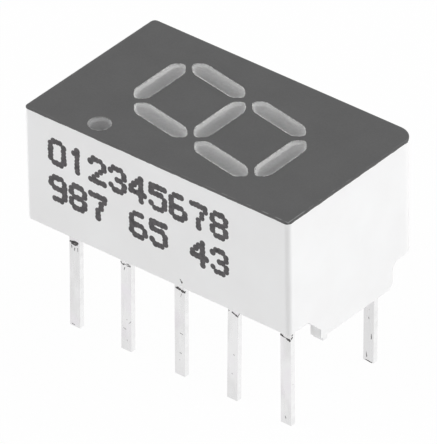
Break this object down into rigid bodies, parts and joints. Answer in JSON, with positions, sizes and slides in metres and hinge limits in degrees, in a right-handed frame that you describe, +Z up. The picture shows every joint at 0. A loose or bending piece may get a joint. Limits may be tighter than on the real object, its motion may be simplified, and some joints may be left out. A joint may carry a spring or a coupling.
{
  "type": "seven segment display",
  "caption": "Single seven segment display with a slanted digit and a right-hand decimal point, in a white through-hole housing with a grey face and two rows of pins.",
  "frame": {"origin": "middle of the box's bottom face, the plane of the ten pin tips", "axes": "+Z up, out of the viewing face; +X along the long side, to the top of the digit; +Y to the digit's left, the row of pins 1 to 5"},
  "size_m": [0.0126, 0.0076, 0.0101],
  "materials": {
    "housing_plastic": "white moulded polycarbonate, satin",
    "face_ink": "mid grey printed coat, satin",
    "diffusing_resin": "milky grey cast epoxy, semi-gloss, lets light through",
    "tinned_lead": "tin dipped steel sheet, bright with a few grey marks",
    "chip": "sawn semiconductor chip with a gold pad",
    "bond_gold": "drawn gold wire"
  },
  "bodies": {
    "root": {"reflector_housing": "housing_plastic", "face_coat": "face_ink", "epoxy_cast": "diffusing_resin", "lead_common": "tinned_lead", "lead_a": "tinned_lead", "lead_b": "tinned_lead", "lead_c": "tinned_lead", "lead_d": "tinned_lead", "lead_e": "tinned_lead", "lead_f": "tinned_lead", "lead_g": "tinned_lead", "lead_dp": "tinned_lead", "die_a": "chip", "die_b": "chip", "die_c": "chip", "die_d": "chip", "die_e": "chip", "die_f": "chip", "die_g": "chip", "die_dp": "chip", "bond_wire_a": "bond_gold", "bond_wire_b": "bond_gold", "bond_wire_c": "bond_gold", "bond_wire_d": "bond_gold", "bond_wire_e": "bond_gold", "bond_wire_f": "bond_gold", "bond_wire_g": "bond_gold", "bond_wire_dp": "bond_gold"}
  },
  "joints": []
}
